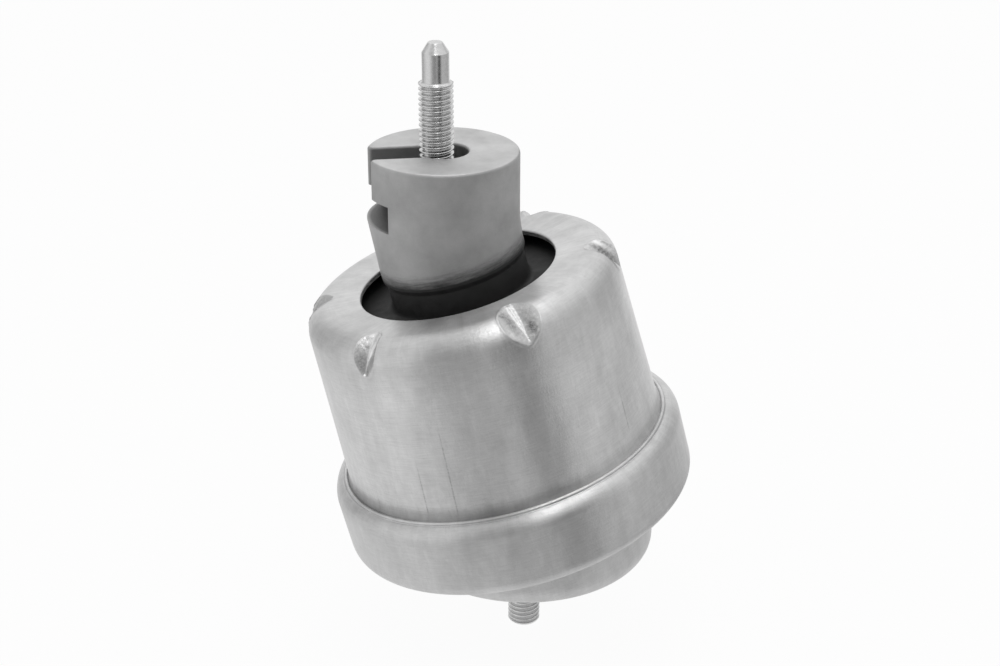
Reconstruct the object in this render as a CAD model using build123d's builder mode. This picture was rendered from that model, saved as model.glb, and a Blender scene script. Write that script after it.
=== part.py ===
from build123d import *
import os
from math import cos, radians, sin

# Hydraulic engine mount, in millimetres and degrees.
# The lower stud's axis is Z and the foot stands on Z = 0. The housing leans towards -X.
# A level is a distance along the housing's own axis, counted from where that axis meets Z = 0.

# Layout
housing_tilt = 14.3
housing_shift = 3.0
core_reach = 24.0
slot_turn = 5.7
gusset_turn = -5.0

# Studs and threads
thread_diameter = 10.0
stud_length = 28.5
stud_chamfer = 1.8
stud_head_diameter = 19.0
stud_head_height = 3.0
stud_neck_diameter = 11.0
stud_hole_clearance = 0.1

# Captive bolt
bolt_projection = 31.4
bolt_slide = 1.75
bolt_shank_diameter = 9.0
bolt_hex_flats = 17.0
bolt_hex_height = 5.0
bolt_collar_diameter = 24.0
bolt_collar_height = 1.8
dog_diameter = 7.75
dog_length = 8.3
dog_shoulder = 0.9
tip_diameter = 4.2
tip_height = 2.8

# Core casting
core_radius = 22.0
core_rise = 38.1
core_straight = 19.9
core_edge = 0.9
core_neck_radius = 21.4
core_neck_rise = 6.4
core_lip_height = 1.7
core_lip_taper = 2.3
core_waist_radius = 18.0
core_flange_radius = 36.0
core_flange_thickness = 6.0
core_flange_edge = 1.0
core_cone_top_radius = 26.0
core_cone_tip_radius = 13.0
core_cone_drop = 2.0
core_cone_length = 22.0
core_tip_round = 3.0

# T-slot in the core
slot_width = 10.5
slot_hole_diameter = 14.6
slot_roof = 11.5
pocket_height = 8.0
pocket_width = 26.0
slot_mouth_round = 1.3
pocket_mouth_round = 0.7

# Base pan and its foot
pan_sheet = 2.5
pan_floor_level = 15.9
pan_corner = 4.2
pan_corner_inner = 1.7
pan_bead = 5.0
pan_bead_inner = 1.9
rim_gap = 0.7
rim_lip = 0.55
rim_lip_drop = 0.15
foot_radius = 39.5
foot_wall = 3.0
foot_floor = 3.5
foot_corner = 6.2
foot_blend = 2.0
foot_overlap = 1.0

# Upper can
can_sheet = 2.0
can_height = 59.6
can_base_radius = 48.3
can_draft = 1.9
can_shoulder = 7.0
can_flat = 0.8
can_bend = 0.5
can_dish = 0.5
can_edge = 0.7
opening_radius = 29.4
can_flange_width = 2.6
can_flange_bend = 1.9
flange_gap = 0.3

# Pressed gussets on the can's shoulder
gusset_count = 6
gusset_half_length = 8.6
gusset_half_width = 5.0
gusset_depth = 2.4

# Ring, plates and bellows between can and pan
plate_gap = 0.2
sleeve_gap = 0.3
ring_sheet = 2.0
ring_height = 29.0
lower_plate_thickness = 4.0
upper_plate_thickness = 4.5
bellows_ring_height = 3.6
bellows_ring_width = 5.8
bellows_ring_relief = 0.6
bellows_bead_height = 2.5
bellows_bead_width = 4.8
bellows_wall = 1.6
bellows_bend = 3.0
bellows_dome_radius = 14.0
bellows_dome_rise = 1.6
bellows_fold_inner_radius = 21.0
bellows_fold_outer_radius = 28.5
bellows_fold_drop = 5.0
bellows_shelf_radius = 35.5
bellows_shelf_drop = 0.5

# Rubber spring
rebound_gap = 3.5
spring_skin = 2.6
spring_under_skin = 1.3
spring_flash = 0.8
spring_lip = 1.6
spring_lip_inset = 0.5
spring_round = 4.0
spring_edge = 0.5
buffer_round = 1.5
spring_valley_radius = 31.0
spring_valley_drop = 7.5
spring_roof_radius = 15.0
spring_roof_rise = 8.0
tip_coat = 2.2

# Inertia track, grille and rivets
decoupler_radius = 22.0
decoupler_thickness = 1.9
decoupler_gap = 0.4
decoupler_pocket = 1.1
track_radius = 34.0
track_width = 8.0
track_depth = 3.0
track_sweep = 300.0
port_diameter = 6.0
port_inset = 6.0
grille_hole_diameter = 4.4
grille_inner_radius = 7.5
grille_outer_radius = 15.0
grille_inner_count = 6
grille_outer_count = 12
rivet_circle_radius = 26.2
rivet_turn = 45.0
rivet_diameter = 4.0
rivet_head_diameter = 6.4
rivet_head_height = 1.2
rivet_count = 4
rivet_hole_clearance = 0.1

# Worked out from the values above
tilt = radians(housing_tilt)
housing_up = Vector(-sin(tilt), 0, cos(tilt))
housing_out = Vector(cos(tilt), 0, sin(tilt))
housing_base = Vector(housing_shift, 0, 0)
housing_axis = Axis(housing_base, housing_up)
housing_section = Plane(origin=housing_base, x_dir=housing_out, z_dir=(0, -1, 0))

can_top_radius = can_base_radius - can_draft
flange_radius = can_base_radius + can_flange_width
pan_inner_radius = flange_radius + flange_gap
pan_radius = pan_inner_radius + pan_sheet
rim_radius = can_base_radius + rim_gap
plate_radius = pan_inner_radius - plate_gap
floor_level = pan_floor_level + pan_sheet
bellows_ring_top = floor_level + bellows_ring_height
bead_top = bellows_ring_top + bellows_bead_height
lower_plate_top = bead_top + lower_plate_thickness
upper_plate_top = lower_plate_top + upper_plate_thickness
ring_flange_top = upper_plate_top + ring_sheet
flange_top = ring_flange_top + can_sheet
rim_top = flange_top + pan_sheet
can_top = ring_flange_top + can_height
can_taper = can_draft / (can_top - flange_top)
opening_top = can_top - can_dish


def level_plane(level):
    """The plane square to the housing's axis at a level."""
    origin = housing_base + housing_up * level
    return Plane(origin=origin, x_dir=housing_out, z_dir=housing_up)


def height_at_level(level, x):
    """Height above the foot of a level plane, over a given x."""
    return (level + sin(tilt) * (x - housing_shift)) / cos(tilt)


def can_wall_radius(level):
    """Outer radius of the can's tapered wall at a level."""
    return can_base_radius - can_taper * (level - flange_top)


# Core casting: upright slotted head, leaning neck, stop flange and bonded cone
core_axis_point = Vector(-core_reach, 0, 0)
slot_out = Vector(-cos(radians(slot_turn)), -sin(radians(slot_turn)), 0)
core_top = height_at_level(can_top, -core_reach) + core_rise
core_bend = core_top - core_straight
pocket_floor = core_top - slot_roof - pocket_height
core_neck_level = can_top + core_neck_rise
core_lip_level = core_neck_level - core_lip_height
core_waist_level = core_lip_level - core_lip_taper
buffer_top = opening_top - can_sheet - rebound_gap
core_flange_top = buffer_top - spring_skin
core_flange_level = core_flange_top - core_flange_thickness
cone_top_level = core_flange_level - core_cone_drop
core_tip_level = core_flange_level - core_cone_length


def slot_plane(height):
    """A level plane over the core's axis whose X runs out of the slot's mouth."""
    return Plane(origin=core_axis_point + Vector(0, 0, height), x_dir=slot_out, z_dir=(0, 0, 1))


with BuildPart() as core:
    with BuildSketch(slot_plane(core_bend)):
        Circle(core_radius)
    extrude(amount=core_straight)
    with BuildSketch(slot_plane(core_top)):
        Circle(slot_hole_diameter / 2)
        Rectangle(2 * core_radius, slot_width, align=(Align.MIN, Align.CENTER))
    extrude(amount=-slot_roof, mode=Mode.SUBTRACT)
    with BuildSketch(slot_plane(core_top - slot_roof)):
        Circle(pocket_width / 2)
        Rectangle(2 * core_radius, pocket_width, align=(Align.MIN, Align.CENTER))
    extrude(amount=-pocket_height, mode=Mode.SUBTRACT)
    upright_edges = core.edges().filter_by(Axis.Z).filter_by(
        lambda e: abs((e.center() - core_axis_point).dot(slot_out)) > pocket_width / 2
    )
    slot_edges = upright_edges.filter_by(lambda e: e.center().Z > core_top - slot_roof)
    pocket_edges = upright_edges.filter_by(lambda e: e.center().Z < core_top - slot_roof)
    fillet(slot_edges, slot_mouth_round)
    fillet(pocket_edges, pocket_mouth_round)
    fillet(core.faces().sort_by(Axis.Z)[-1].edges(), core_edge)
    with BuildSketch(slot_plane(core_bend)):
        Circle(core_radius)
    with BuildSketch(level_plane(core_neck_level)):
        Circle(core_neck_radius)
    loft(ruled=True)
    with BuildSketch(housing_section):
        with BuildLine():
            FilletPolyline(
                (0, core_neck_level),
                (core_neck_radius, core_neck_level),
                (core_neck_radius, core_lip_level),
                (core_waist_radius, core_waist_level),
                (core_waist_radius, core_flange_top),
                (core_flange_radius, core_flange_top),
                (core_flange_radius, core_flange_level),
                (core_cone_top_radius, cone_top_level),
                (core_cone_tip_radius, core_tip_level),
                (0, core_tip_level),
                radius=(0, 0, 0, 0, 0, core_flange_edge, core_flange_edge, 0, core_tip_round, 0),
                close=True,
            )
        make_face()
    revolve(axis=housing_axis)
core.part.label = "core"

# Captive bolt: a collared hex head and shank in the T-slot, a thread above it and a dog point
bolt_tip = core_top + bolt_projection
dog_top = bolt_tip - tip_height
dog_base = dog_top - dog_length
bolt_axis_point = core_axis_point + slot_out * bolt_slide
collar_base = pocket_floor + bolt_hex_height
collar_top = collar_base + bolt_collar_height
bolt_section = Plane(origin=bolt_axis_point, x_dir=(1, 0, 0), z_dir=(0, -1, 0))

with BuildPart() as top_bolt:
    with BuildSketch(slot_plane(pocket_floor)):
        with Locations((bolt_slide, 0)):
            RegularPolygon(bolt_hex_flats / 2, 6, major_radius=False)
    extrude(amount=bolt_hex_height)
    with BuildSketch(bolt_section):
        with BuildLine():
            Polyline(
                (0, collar_base),
                (bolt_collar_diameter / 2, collar_base),
                (bolt_collar_diameter / 2, collar_top),
                (bolt_shank_diameter / 2, collar_top),
                (bolt_shank_diameter / 2, core_top),
                (thread_diameter / 2, core_top),
                (thread_diameter / 2, dog_base - dog_shoulder),
                (dog_diameter / 2, dog_base),
                (dog_diameter / 2, dog_top),
                (tip_diameter / 2, bolt_tip),
                (0, bolt_tip),
                close=True,
            )
        make_face()
    revolve(axis=Axis(bolt_axis_point, (0, 0, 1)))
top_bolt.part.label = "top_bolt"

# Upper can: flanged foot, tapered wall, rounded shoulder, dished top and gussets
can_inner_top_radius = can_top_radius - can_sheet
shoulder_radius_centre = can_top_radius - can_shoulder
shoulder_level_centre = can_top - can_shoulder
dish_radius = shoulder_radius_centre - can_flat
gusset_offset = gusset_half_width - gusset_depth
shoulder_middle = radians(45)
gusset_centre = (
    shoulder_radius_centre + (can_shoulder + gusset_offset) * cos(shoulder_middle),
    shoulder_level_centre + (can_shoulder + gusset_offset) * sin(shoulder_middle),
)


def gusset_tool(grow):
    """A football-shaped solid that lies across the shoulder, grown by a thickness."""
    centre = housing_base + housing_out * gusset_centre[0] + housing_up * gusset_centre[1]
    along = (housing_out - housing_up).normalized()
    tool_plane = Plane(origin=centre, x_dir=along, z_dir=(0, -1, 0))
    with BuildPart() as tool:
        with BuildSketch(tool_plane):
            Ellipse(gusset_half_length + grow, gusset_half_width + grow)
            Rectangle(
                2 * (gusset_half_length + grow),
                gusset_half_width + grow,
                align=(Align.CENTER, Align.MAX),
                mode=Mode.SUBTRACT,
            )
        revolve(axis=Axis(centre, along))
    return tool.part


with BuildPart() as can_hull:
    with BuildSketch(housing_section):
        with BuildLine():
            FilletPolyline(
                (0, ring_flange_top),
                (can_base_radius, ring_flange_top),
                (can_base_radius, flange_top),
                (can_top_radius, can_top),
                (0, can_top),
                radius=(0, 0, 0, can_shoulder, 0),
                close=True,
            )
        make_face()
    revolve(axis=housing_axis)

with BuildPart() as gusset_bosses:
    for number in range(gusset_count):
        turn = gusset_turn + number * 360 / gusset_count
        add(gusset_tool(can_sheet).rotate(housing_axis, turn))
    add(can_hull.part, mode=Mode.INTERSECT)

with BuildPart() as upper_can:
    with BuildSketch(housing_section):
        with BuildLine():
            FilletPolyline(
                (flange_radius, ring_flange_top),
                (flange_radius, flange_top),
                (can_base_radius, flange_top),
                (can_top_radius, can_top),
                (dish_radius, can_top),
                (opening_radius, opening_top),
                (opening_radius, opening_top - can_sheet),
                (dish_radius, can_top - can_sheet),
                (can_inner_top_radius, can_top - can_sheet),
                (can_base_radius - can_sheet, flange_top),
                (can_base_radius - can_sheet, ring_flange_top),
                radius=(
                    0,
                    can_flange_bend,
                    can_bend,
                    can_shoulder,
                    0,
                    can_edge,
                    can_edge,
                    0,
                    can_shoulder - can_sheet,
                    0,
                    can_sheet - can_bend,
                ),
                close=True,
            )
        make_face()
    revolve(axis=housing_axis)
    add(gusset_bosses.part)
    for number in range(gusset_count):
        turn = gusset_turn + number * 360 / gusset_count
        add(gusset_tool(0).rotate(housing_axis, turn), mode=Mode.SUBTRACT)
upper_can.part.label = "upper_can"

# Base pan: round wall with a rolled rim, and a hollow wedge foot square to the stud
foot_top = height_at_level(floor_level, foot_radius) + foot_overlap
foot_top_level = foot_top * cos(tilt) + (foot_radius + housing_shift) * sin(tilt)
foot_inner_radius = foot_radius - foot_wall
hollow_top = max(rim_top, foot_top_level) + rim_lip

with BuildPart() as base_pan:
    with BuildSketch(housing_section):
        with BuildLine():
            FilletPolyline(
                (0, pan_floor_level),
                (pan_radius, pan_floor_level),
                (pan_radius, rim_top),
                (pan_radius - pan_bead, rim_top),
                (0, rim_top),
                radius=(0, pan_corner, pan_bead, 0, 0),
                close=True,
            )
        make_face()
    revolve(axis=housing_axis)
    with BuildSketch(Plane.XZ):
        with BuildLine():
            FilletPolyline(
                (0, 0),
                (foot_radius, 0),
                (foot_radius, foot_top),
                (0, foot_top),
                radius=(0, foot_corner, 0, 0),
                close=True,
            )
        make_face()
    revolve(axis=Axis.Z)
    underside = base_pan.faces().filter_by(level_plane(pan_floor_level)).sort_by(housing_axis)[0]
    fillet(underside.inner_wires()[0].edges(), foot_blend)
    with BuildSketch(housing_section):
        with BuildLine():
            FilletPolyline(
                (0, floor_level),
                (pan_inner_radius, floor_level),
                (pan_inner_radius, flange_top),
                (rim_radius, flange_top),
                (rim_radius, hollow_top),
                (0, hollow_top),
                radius=(0, pan_corner_inner, pan_bead_inner, 0, 0, 0),
                close=True,
            )
        make_face()
    revolve(axis=housing_axis, mode=Mode.SUBTRACT)
    with BuildSketch(housing_section):
        with Locations((rim_radius + rim_lip, rim_top - rim_lip_drop)):
            Circle(rim_lip)
    revolve(axis=housing_axis)
    with BuildSketch(Plane.XZ):
        with BuildLine():
            FilletPolyline(
                (0, foot_floor),
                (foot_inner_radius, foot_floor),
                (foot_inner_radius, foot_top),
                (0, foot_top),
                radius=(0, foot_corner - foot_wall, 0, 0),
                close=True,
            )
        make_face()
    revolve(axis=Axis.Z, mode=Mode.SUBTRACT)
    with BuildSketch(Plane.XY):
        Circle(stud_neck_diameter / 2 + stud_hole_clearance)
    extrude(amount=foot_floor, mode=Mode.SUBTRACT)
base_pan.part.label = "base_pan"

# Lower stud: disc head on the foot's inner floor, neck in its hole, thread below it
with BuildPart() as lower_stud:
    with BuildSketch(Plane.XY.offset(foot_floor)):
        Circle(stud_head_diameter / 2)
    extrude(amount=stud_head_height)
    with BuildSketch(Plane.XY):
        Circle(stud_neck_diameter / 2)
    extrude(amount=foot_floor)
    with BuildSketch(Plane.XY):
        Circle(thread_diameter / 2)
    extrude(amount=-stud_length)
    chamfer(lower_stud.edges().group_by(Axis.Z)[0], stud_chamfer)
lower_stud.part.label = "lower_stud"

# Outer ring: flange clamped between can and plates, tapered sleeve inside the can
sleeve_top = ring_flange_top + ring_height
sleeve_base_radius = can_base_radius - can_sheet - sleeve_gap
sleeve_top_radius = can_wall_radius(sleeve_top) - can_sheet - sleeve_gap
sleeve_base_inner = sleeve_base_radius - ring_sheet
sleeve_top_inner = sleeve_top_radius - ring_sheet

with BuildPart() as outer_ring:
    with BuildSketch(housing_section):
        with BuildLine():
            Polyline(
                (sleeve_base_inner, upper_plate_top),
                (plate_radius, upper_plate_top),
                (plate_radius, ring_flange_top),
                (sleeve_base_radius, ring_flange_top),
                (sleeve_top_radius, sleeve_top),
                (sleeve_top_inner, sleeve_top),
                close=True,
            )
        make_face()
    revolve(axis=housing_axis)
outer_ring.part.label = "outer_ring"

# Main spring: rubber bonded to the core and the ring, with a buffer over the stop flange
buffer_radius = core_flange_radius + spring_skin
spring_waist_radius = core_waist_radius + spring_skin
spring_inner_radius = sleeve_base_inner - spring_lip
spring_lip_level = sleeve_top + spring_lip

with BuildPart() as main_spring:
    with BuildSketch(housing_section):
        with BuildLine():
            FilletPolyline(
                (0, core_tip_level - tip_coat),
                (spring_roof_radius, core_tip_level - tip_coat),
                (spring_inner_radius, ring_flange_top + spring_roof_rise),
                (spring_inner_radius, upper_plate_top),
                (sleeve_base_inner, upper_plate_top),
                (sleeve_top_inner, sleeve_top),
                (sleeve_top_radius, sleeve_top),
                (sleeve_top_radius - spring_lip_inset, spring_lip_level),
                (sleeve_top_inner - spring_lip_inset, spring_lip_level),
                (spring_valley_radius, core_flange_level - spring_valley_drop),
                (buffer_radius, core_flange_level - spring_under_skin),
                (buffer_radius, buffer_top),
                (spring_waist_radius, buffer_top),
                (spring_waist_radius, core_waist_level),
                (core_neck_radius, core_lip_level - spring_flash),
                (core_neck_radius, core_lip_level),
                (core_waist_radius, core_waist_level),
                (0, core_waist_level),
                radius=(
                    0,
                    spring_round,
                    spring_round,
                    0,
                    0,
                    0,
                    0,
                    0,
                    buffer_round,
                    spring_round,
                    buffer_round,
                    buffer_round,
                    buffer_round,
                    spring_edge,
                    spring_edge,
                    0,
                    0,
                    0,
                ),
                close=True,
            )
        make_face()
    revolve(axis=housing_axis)
    add(core.part, mode=Mode.SUBTRACT)
main_spring.part.label = "main_spring"

# Track plates: two cast discs with a shared grille, the inertia track and its two ports
def grille_holes(mode):
    """Round holes of the grille: one in the middle and two rings."""
    Circle(grille_hole_diameter / 2, mode=mode)
    with PolarLocations(grille_inner_radius, grille_inner_count):
        Circle(grille_hole_diameter / 2, mode=mode)
    with PolarLocations(grille_outer_radius, grille_outer_count):
        Circle(grille_hole_diameter / 2, mode=mode)


def port_hole(turn):
    """Round port in the track at an angle."""
    with Locations((track_radius * cos(radians(turn)), track_radius * sin(radians(turn)))):
        Circle(port_diameter / 2)


def rivet_spots():
    """Positions of the rivets round the housing's axis."""
    return PolarLocations(rivet_circle_radius, rivet_count, start_angle=rivet_turn)


with BuildPart() as track_plate_upper:
    with BuildSketch(level_plane(lower_plate_top)):
        Circle(plate_radius)
        grille_holes(Mode.SUBTRACT)
        with rivet_spots():
            Circle(rivet_diameter / 2 + rivet_hole_clearance, mode=Mode.SUBTRACT)
    extrude(amount=upper_plate_thickness)
    with BuildSketch(level_plane(lower_plate_top)):
        Circle(decoupler_radius + decoupler_gap)
    extrude(amount=decoupler_pocket, mode=Mode.SUBTRACT)
    with BuildSketch(level_plane(lower_plate_top)):
        with BuildLine():
            CenterArc((0, 0), track_radius, 0, track_sweep)
        trace(line_width=track_width)
    extrude(amount=track_depth, mode=Mode.SUBTRACT)
    with BuildSketch(level_plane(lower_plate_top)):
        port_hole(port_inset)
    extrude(amount=upper_plate_thickness, mode=Mode.SUBTRACT)
track_plate_upper.part.label = "track_plate_upper"

with BuildPart() as track_plate_lower:
    with BuildSketch(level_plane(lower_plate_top)):
        Circle(plate_radius)
        grille_holes(Mode.SUBTRACT)
        with rivet_spots():
            Circle(rivet_diameter / 2 + rivet_hole_clearance, mode=Mode.SUBTRACT)
    extrude(amount=-lower_plate_thickness)
    with BuildSketch(level_plane(lower_plate_top)):
        Circle(decoupler_radius + decoupler_gap)
    extrude(amount=-decoupler_pocket, mode=Mode.SUBTRACT)
    with BuildSketch(level_plane(lower_plate_top)):
        port_hole(track_sweep - port_inset)
    extrude(amount=-lower_plate_thickness, mode=Mode.SUBTRACT)
track_plate_lower.part.label = "track_plate_lower"

# Decoupler: loose rubber disc that lies on the lower grille
with BuildPart() as decoupler:
    with BuildSketch(level_plane(lower_plate_top - decoupler_pocket)):
        Circle(decoupler_radius)
    extrude(amount=decoupler_thickness)
decoupler.part.label = "decoupler"

# Rivets through both plates, one node of separate solids
with BuildPart() as track_rivets:
    with BuildSketch(level_plane(bead_top - rivet_head_height)):
        with rivet_spots():
            Circle(rivet_head_diameter / 2)
    extrude(amount=rivet_head_height)
    with BuildSketch(level_plane(bead_top)):
        with rivet_spots():
            Circle(rivet_diameter / 2)
    extrude(amount=upper_plate_top - bead_top)
    with BuildSketch(level_plane(upper_plate_top)):
        with rivet_spots():
            Circle(rivet_head_diameter / 2)
    extrude(amount=rivet_head_height)
track_rivets.part.label = "track_rivets"

# Bellows: thin folded diaphragm with a square bead at its rim
bead_inner_radius = plate_radius - bellows_bead_width
bead_middle = bellows_ring_top + bellows_bead_height / 2

with BuildPart() as bellows:
    with BuildSketch(housing_section):
        with BuildLine():
            FilletPolyline(
                (0, floor_level + bellows_dome_rise),
                (bellows_dome_radius, floor_level + bellows_dome_rise),
                (bellows_fold_inner_radius, floor_level - bellows_fold_drop),
                (bellows_fold_outer_radius, floor_level - bellows_fold_drop),
                (bellows_shelf_radius, bead_middle - bellows_shelf_drop),
                (bead_inner_radius + bellows_wall, bead_middle),
                radius=(bellows_bend, bellows_bend, bellows_bend, bellows_bend),
            )
        trace(line_width=bellows_wall)
        with Locations((bead_inner_radius, bellows_ring_top)):
            Rectangle(bellows_bead_width, bellows_bead_height, align=(Align.MIN, Align.MIN))
    revolve(axis=housing_axis)
bellows.part.label = "bellows"

# Bellows ring: stands on the pan's floor and clamps the bellows' bead to the lower plate
with BuildPart() as bellows_ring:
    with BuildSketch(level_plane(floor_level)):
        Circle(plate_radius - bellows_ring_relief)
        Circle(plate_radius - bellows_ring_width, mode=Mode.SUBTRACT)
    extrude(amount=bellows_ring_height)
    chamfer(bellows_ring.edges().group_by(housing_axis)[0], pan_corner_inner)
bellows_ring.part.label = "bellows_ring"

os.makedirs("parts", exist_ok=True)
pieces = (
    top_bolt,
    core,
    main_spring,
    upper_can,
    outer_ring,
    track_plate_upper,
    decoupler,
    track_plate_lower,
    track_rivets,
    bellows,
    bellows_ring,
    base_pan,
    lower_stud,
)
for piece in pieces:
    export_step(piece.part, "parts/" + piece.part.label + ".step")
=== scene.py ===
from math import atan2, ceil, cos, pi, radians, sin, tan, tau

import bpy
import bmesh
import numpy as np
from mathutils import Matrix, Vector


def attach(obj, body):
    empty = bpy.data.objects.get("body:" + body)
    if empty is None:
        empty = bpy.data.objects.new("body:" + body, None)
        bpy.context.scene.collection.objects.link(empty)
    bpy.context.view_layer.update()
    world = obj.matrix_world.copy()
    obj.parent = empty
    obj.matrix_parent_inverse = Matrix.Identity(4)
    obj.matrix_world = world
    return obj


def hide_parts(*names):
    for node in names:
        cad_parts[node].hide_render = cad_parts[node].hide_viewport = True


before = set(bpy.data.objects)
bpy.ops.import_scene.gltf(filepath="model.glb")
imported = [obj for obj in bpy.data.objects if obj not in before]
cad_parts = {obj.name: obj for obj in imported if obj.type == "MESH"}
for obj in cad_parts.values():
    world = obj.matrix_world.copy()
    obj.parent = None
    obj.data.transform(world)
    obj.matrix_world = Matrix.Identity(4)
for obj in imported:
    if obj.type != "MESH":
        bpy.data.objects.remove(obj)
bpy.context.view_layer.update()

# Sizes are in millimetres and angles in radians, and meshes are written in metres.
# The housing's axis leans towards -X, and a level is a distance along that axis.
MM = 0.001
HOUSING_TILT = radians(14.3)
HOUSING_SHIFT = 3.0
HOUSING_BASE = np.array([HOUSING_SHIFT, 0.0, 0.0])
HOUSING_UP = np.array([-sin(HOUSING_TILT), 0.0, cos(HOUSING_TILT)])
HOUSING_OUT = np.array([cos(HOUSING_TILT), 0.0, sin(HOUSING_TILT)])
HOUSING_SIDE = np.array([0.0, 1.0, 0.0])

# Upper can
CAN_SHEET = 2.0
CAN_FOOT = 35.0
CAN_TOP = 94.6
CAN_BASE_RADIUS = 48.3
CAN_TOP_RADIUS = 46.4
CAN_SHOULDER = 7.0
CAN_FLAT = 0.8
CAN_BEND = 0.5
CAN_DISH = 0.5
CAN_EDGE = 0.7
CAN_FLANGE_RADIUS = 50.9
CAN_FLARE = 5.5
OPENING_RADIUS = 29.4

# Gussets pressed into the can's shoulder, counted round the axis from GUSSET_TURN. The press moves only
# points within GUSSET_REACH of one, past the least radius and level. A floor rises in a steep wall at
# its oval edge, with a lip a little way out and a thin ridge along its bottom line.
GUSSET_TURN = radians(-5.0)
GUSSET_REACH = radians(12)
GUSSET_LEAST_RADIUS = 28.0
GUSSET_LEAST_LEVEL = 74.0
GUSSET_OVAL = 0.9
GUSSET_WALL = 55.0
GUSSET_ROUND = 0.45
GUSSET_LIP = 0.2
GUSSET_LIP_PLACE = 0.8
GUSSET_LIP_WIDTH = 0.5
GUSSET_RIDGE = 0.16
GUSSET_RIDGE_WIDTH = 0.3
DENT_DEPTH = 0.006
DENT_WAVES = 14

# left and right are half widths, valley and twist place and slant the bottom line, flat is half its
# width, lean and bow bend the floor along the gusset, middle and length give its extent there, and shift,
# in degrees, moves it round the axis. A mark is painted shade on the pressed metal, or a painted
# highlight
# where its amount is below nought: amount, place across and along, half width and half length.
GUSSET_PLAIN = {
    "depth": 2.4,
    "left": 4.6,
    "right": 4.6,
    "power": 1.2,
    "shift": -1.5,
    "valley": 0.0,
    "twist": 0.0,
    "flat": 0.5,
    "lean": 0.05,
    "bow": 0.028,
    "middle": -0.5,
    "length": 6.8,
    "marks": ((0.15, -2.0, 0.0, 1.5, 4.0), (0.2, 1.6, -2.5, 1.4, 2.4)),
}
GUSSETS_OWN = (
    {
        "depth": 2.5,
        "left": 5.0,
        "right": 5.0,
        "power": 1.0,
        "shift": -3.0,
        "valley": 0.3,
        "twist": -0.3,
        "lean": 0.0,
        "bow": 0.02,
        "marks": ((0.65, 1.7, -0.5, 1.3, 5.0), (-0.45, 3.3, 2.6, 0.6, 2.4), (0.35, 4.6, 0.0, 0.4, 4.0)),
    },
    {"valley": 0.3, "twist": -0.05},
    {"valley": -0.4, "twist": 0.04, "flat": 0.7},
    {"valley": 0.2, "shift": 0.0},
    {
        "left": 4.9,
        "right": 2.8,
        "power": 1.0,
        "shift": -1.6,
        "valley": -0.7,
        "twist": 0.24,
        "flat": 1.3,
        "lean": 0.09,
        "marks": (
            (0.3, -3.0, -2.4, 1.5, 2.4),
            (0.35, -1.8, 1.5, 0.7, 0.8),
            (-0.4, -0.8, -0.5, 0.8, 4.5),
            (-0.25, -3.3, 2.6, 0.6, 2.6),
        ),
    },
    {
        "depth": 2.9,
        "left": 5.7,
        "right": 5.7,
        "power": 1.1,
        "shift": -2.9,
        "valley": 0.3,
        "flat": 1.1,
        "lean": -0.1,
        "bow": 0.015,
        "middle": 0.4,
        "length": 7.3,
        "marks": (
            (0.42, -2.4, 1.0, 1.3, 4.0),
            (0.35, -3.6, 4.2, 1.3, 1.4),
            (0.3, 2.8, 1.0, 1.6, 4.0),
            (0.5, 2.8, -2.6, 1.3, 1.8),
            (-0.15, -3.6, -3.0, 0.9, 1.8),
        ),
    },
)
GUSSETS = tuple({**GUSSET_PLAIN, **own} for own in GUSSETS_OWN)

# Long scratches on the can's wall: angle, lowest and highest level, in radians and millimetres
SCRATCHES = (
    (radians(-107.3), 41.0, 71.0),
    (radians(-118.4), 41.0, 60.0),
    (radians(-141.0), 40.0, 47.0),
    (radians(-135.8), 40.0, 45.0),
    (radians(-38.0), 46.0, 62.0),
    (radians(35.0), 42.0, 66.0),
    (radians(118.0), 41.0, 58.0),
)
SCRATCH_LEAN = 0.0009
SCRATCH_WIDTH = 0.007

# Painted shade on the can's wall just above the pan's rim: how high it reaches and how much light it
# takes
RIM_SHADE_HEIGHT = 5.2
RIM_SHADE_DEPTH = 0.60

# Base pan and its foot
PAN_SHEET = 2.5
PAN_FLOOR = 15.9
PAN_RADIUS = 53.7
PAN_CORNER = 4.2
PAN_CORNER_INNER = 1.7
PAN_BEAD = 5.0
PAN_BEAD_INNER = 1.9
RIM_RADIUS = 49.0
RIM_TOP = 39.5
RIM_LIP = 0.55
RIM_LIP_DROP = 0.15
RIM_WAVE = 0.05
FOOT_RADIUS = 39.5
FOOT_WALL = 3.0
FOOT_FLOOR = 3.5
FOOT_CORNER = 6.2
FOOT_BLEND = 2.0
FOOT_HOLE_RADIUS = 5.6

# Core, with the slot's roof and floor as heights and the rubber smear's ends as levels
CORE_TOP = 128.84
CORE_REACH = 24.0
CORE_RADIUS = 22.0
POCKET_FLOOR = 109.34
SLOT_ROOF = 117.34
SLOT_TURN = radians(185.7)
SMEAR_LOW = 98.0
SMEAR_HIGH = 104.2

# Studs, with the thread's crest and flank as shares of half a pitch
THREAD_RADIUS = 4.97
THREAD_PITCH = 1.5
THREAD_DEPTH = 0.92
THREAD_CREST = 0.14
THREAD_FLANK = 0.62
ROWS_PER_TURN = 16
STUD_COLUMNS = 120
STUD_LENGTH = 28.5
STUD_NECK_RADIUS = 5.5
STUD_HEAD_RADIUS = 9.5
STUD_HEAD_TOP = 6.5
STUD_HEAD_EDGE = 0.3
BOLT_AXIS = np.array([-25.741, -0.174])
BOLT_APOTHEM = 8.5
BOLT_HEAD_BASE = 109.343
BOLT_HEAD_HEIGHT = 5.0
BOLT_HEAD_CHAMFER = 0.8
COLLAR_RADIUS = 12.0
COLLAR_HEIGHT = 1.8
COLLAR_EDGE = 0.3
SHANK_RADIUS = 4.5
SHANK_BLEND = 0.4
DOG_RADIUS = 3.875
DOG_BASE = 149.14
DOG_TOP = 157.44
TIP_RADIUS = 2.1
TIP = 160.24

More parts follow.
